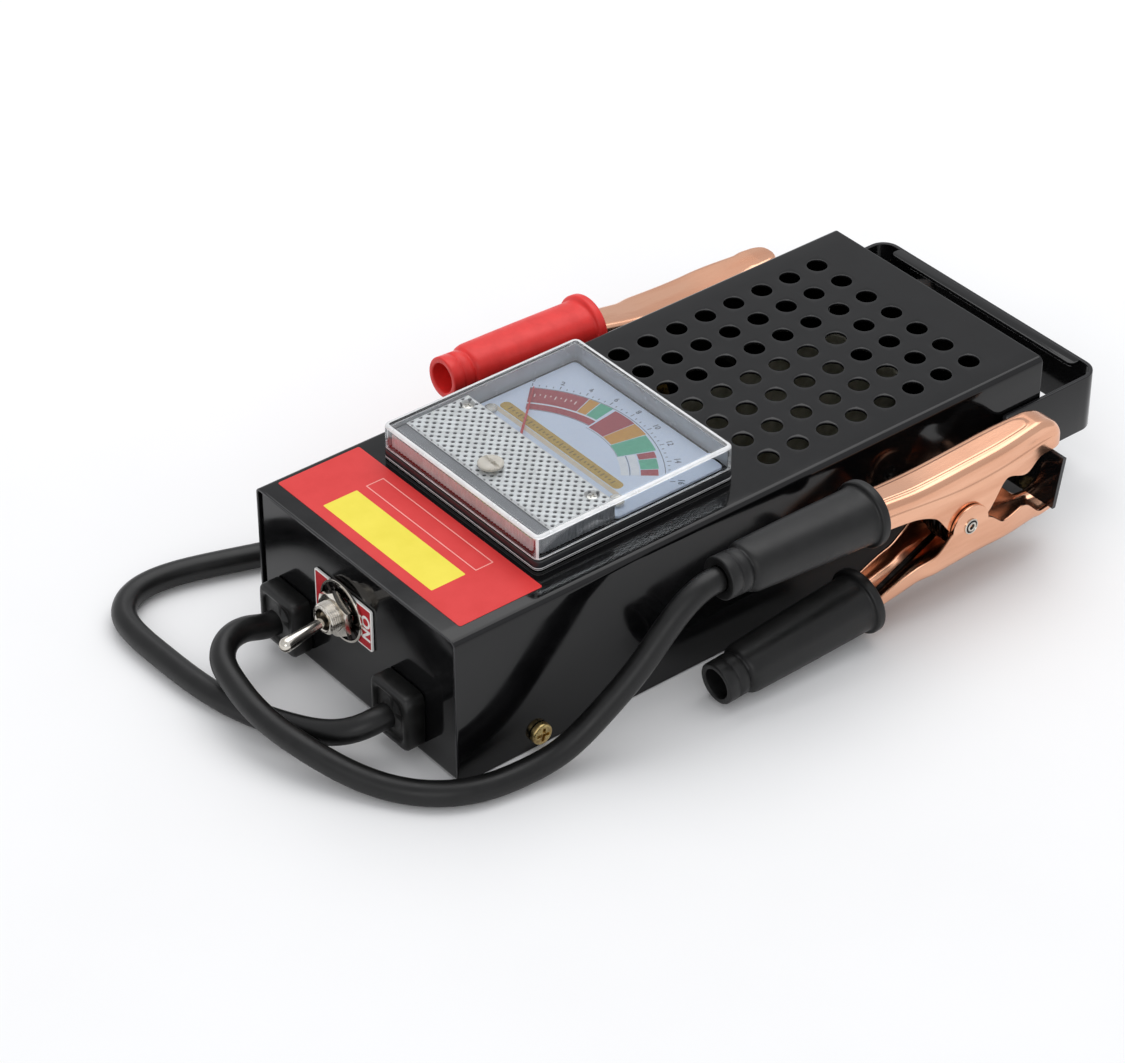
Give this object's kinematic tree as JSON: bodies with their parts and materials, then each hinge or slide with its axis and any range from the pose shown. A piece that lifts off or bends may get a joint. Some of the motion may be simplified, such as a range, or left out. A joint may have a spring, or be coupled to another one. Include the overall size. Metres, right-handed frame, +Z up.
{
  "type": "battery load tester",
  "caption": "Hand-held battery load tester: vented steel case with a pointer meter and toggle switch, strap handle, and two short leads ending in sprung copper clamps.",
  "frame": {"origin": "middle of the case's underside, on the surface it stands on", "axes": "+X towards the side of the black clamp, +Y towards the strap handle, +Z up"},
  "size_m": [0.177, 0.3152, 0.0707],
  "materials": {
    "black_enamel": "gloss black stoving enamel",
    "black_nylon": "moulded nylon",
    "black_pvc": "insulated wire",
    "black_rubber": "matt black rubber",
    "blackened_spring_steel": "oil-blackened wire",
    "brass": "plain brass",
    "bright_nickel": "bright nickel plating",
    "brown_bakelite": "moulded bakelite",
    "cast_alnico": "cast magnet",
    "clear_styrene": "clear polished moulding",
    "copper_plate": "bright copper plating on steel",
    "grey_phenolic": "moulded phenolic",
    "heat_tinted_nichrome": "heat-tinted ribbon",
    "pointer_lacquer": "red lacquer",
    "printed_dial": "pale printed enamel",
    "red_print": "red printed plate",
    "red_pvc": "insulated wire",
    "red_rubber": "satin red vinyl",
    "silvered_styrene": "silvered and knurled",
    "steatite": "unglazed",
    "yellow_zinc": "yellow passivated zinc"
  },
  "bodies": {
    "case": {"base_pan": "black_enamel", "black_clamp_lead_grip": "black_rubber", "black_clamp_lead_half": "copper_plate", "black_clamp_pin": "bright_nickel", "black_clamp_spring": "blackened_spring_steel", "black_lead": "black_rubber", "ceramic_bar_front": "steatite", "ceramic_bar_rear": "steatite", "cord_gland_left": "black_nylon", "cord_gland_right": "black_nylon", "cover_screw_front_far": "yellow_zinc", "cover_screw_front_near": "yellow_zinc", "cover_screw_rear_far": "yellow_zinc", "cover_screw_rear_near": "yellow_zinc", "dial_screw_far": "bright_nickel", "dial_screw_near": "bright_nickel", "inner_lead_link": "red_pvc", "inner_lead_post": "black_pvc", "inner_lead_switch": "red_pvc", "load_ribbon": "heat_tinted_nichrome", "meter_apron": "silvered_styrene", "meter_base": "grey_phenolic", "meter_dial": "printed_dial", "meter_magnet": "cast_alnico", "meter_nut_far": "brass", "meter_nut_near": "brass", "meter_stud_far": "brass", "meter_stud_near": "brass", "meter_window": "clear_styrene", "red_clamp_lead_grip": "red_rubber", "red_clamp_lead_half": "copper_plate", "red_clamp_pin": "bright_nickel", "red_clamp_spring": "blackened_spring_steel", "red_lead": "black_rubber", "strap_handle": "black_enamel", "strap_rivet_far_high": "black_enamel", "strap_rivet_far_low": "black_enamel", "strap_rivet_near_high": "black_enamel", "strap_rivet_near_low": "black_enamel", "switch_body": "brown_bakelite", "switch_bushing": "bright_nickel", "switch_nut": "bright_nickel", "switch_plate": "red_print", "switch_washer": "bright_nickel", "terminal_post_far": "brass", "terminal_post_near": "brass", "top_cover": "black_enamel"},
    "black_clamp_free": {"black_clamp_free_half": "copper_plate", "black_clamp_free_grip": "black_rubber"},
    "red_clamp_free": {"red_clamp_free_half": "copper_plate", "red_clamp_free_grip": "red_rubber"},
    "pointer": {"meter_pointer": "pointer_lacquer"},
    "zero_adjust": {"zero_adjust_screw": "clear_styrene"},
    "lever": {"switch_lever": "bright_nickel"}
  },
  "joints": [
    {"name": "black_clamp_hinge", "type": "hinge", "parent": "case", "child": "black_clamp_free", "pos_m": [0.0715, 0.065, 0.0297], "axis": [1, 0, 0], "range_deg": [-14, 0], "stiffness_Nm_per_rad": 1.5, "springref_deg": 28.65, "deforming": ["black_clamp_spring"]},
    {"name": "red_clamp_hinge", "type": "hinge", "parent": "case", "child": "red_clamp_free", "pos_m": [-0.07, 0.065, 0.0297], "axis": [1, 0, 0], "range_deg": [0, 14], "stiffness_Nm_per_rad": 1.5, "springref_deg": -28.65, "deforming": ["red_clamp_spring"]},
    {"name": "pointer_swing", "type": "hinge", "parent": "case", "child": "pointer", "pos_m": [0, -0.0608, 0.0622], "axis": [0, 0, 1], "range_deg": [-84, 0], "stiffness_Nm_per_rad": 0.0002},
    {"name": "zero_adjust_turn", "type": "hinge", "parent": "case", "child": "zero_adjust", "pos_m": [0, -0.0688, 0.069], "axis": [0, 0, 1], "range_deg": [-30, 30]},
    {"name": "lever_throw", "type": "hinge", "parent": "case", "child": "lever", "pos_m": [-0.006, -0.1263, 0.0342], "axis": [0, 0, 1], "range_deg": [-18, 0]}
  ]
}
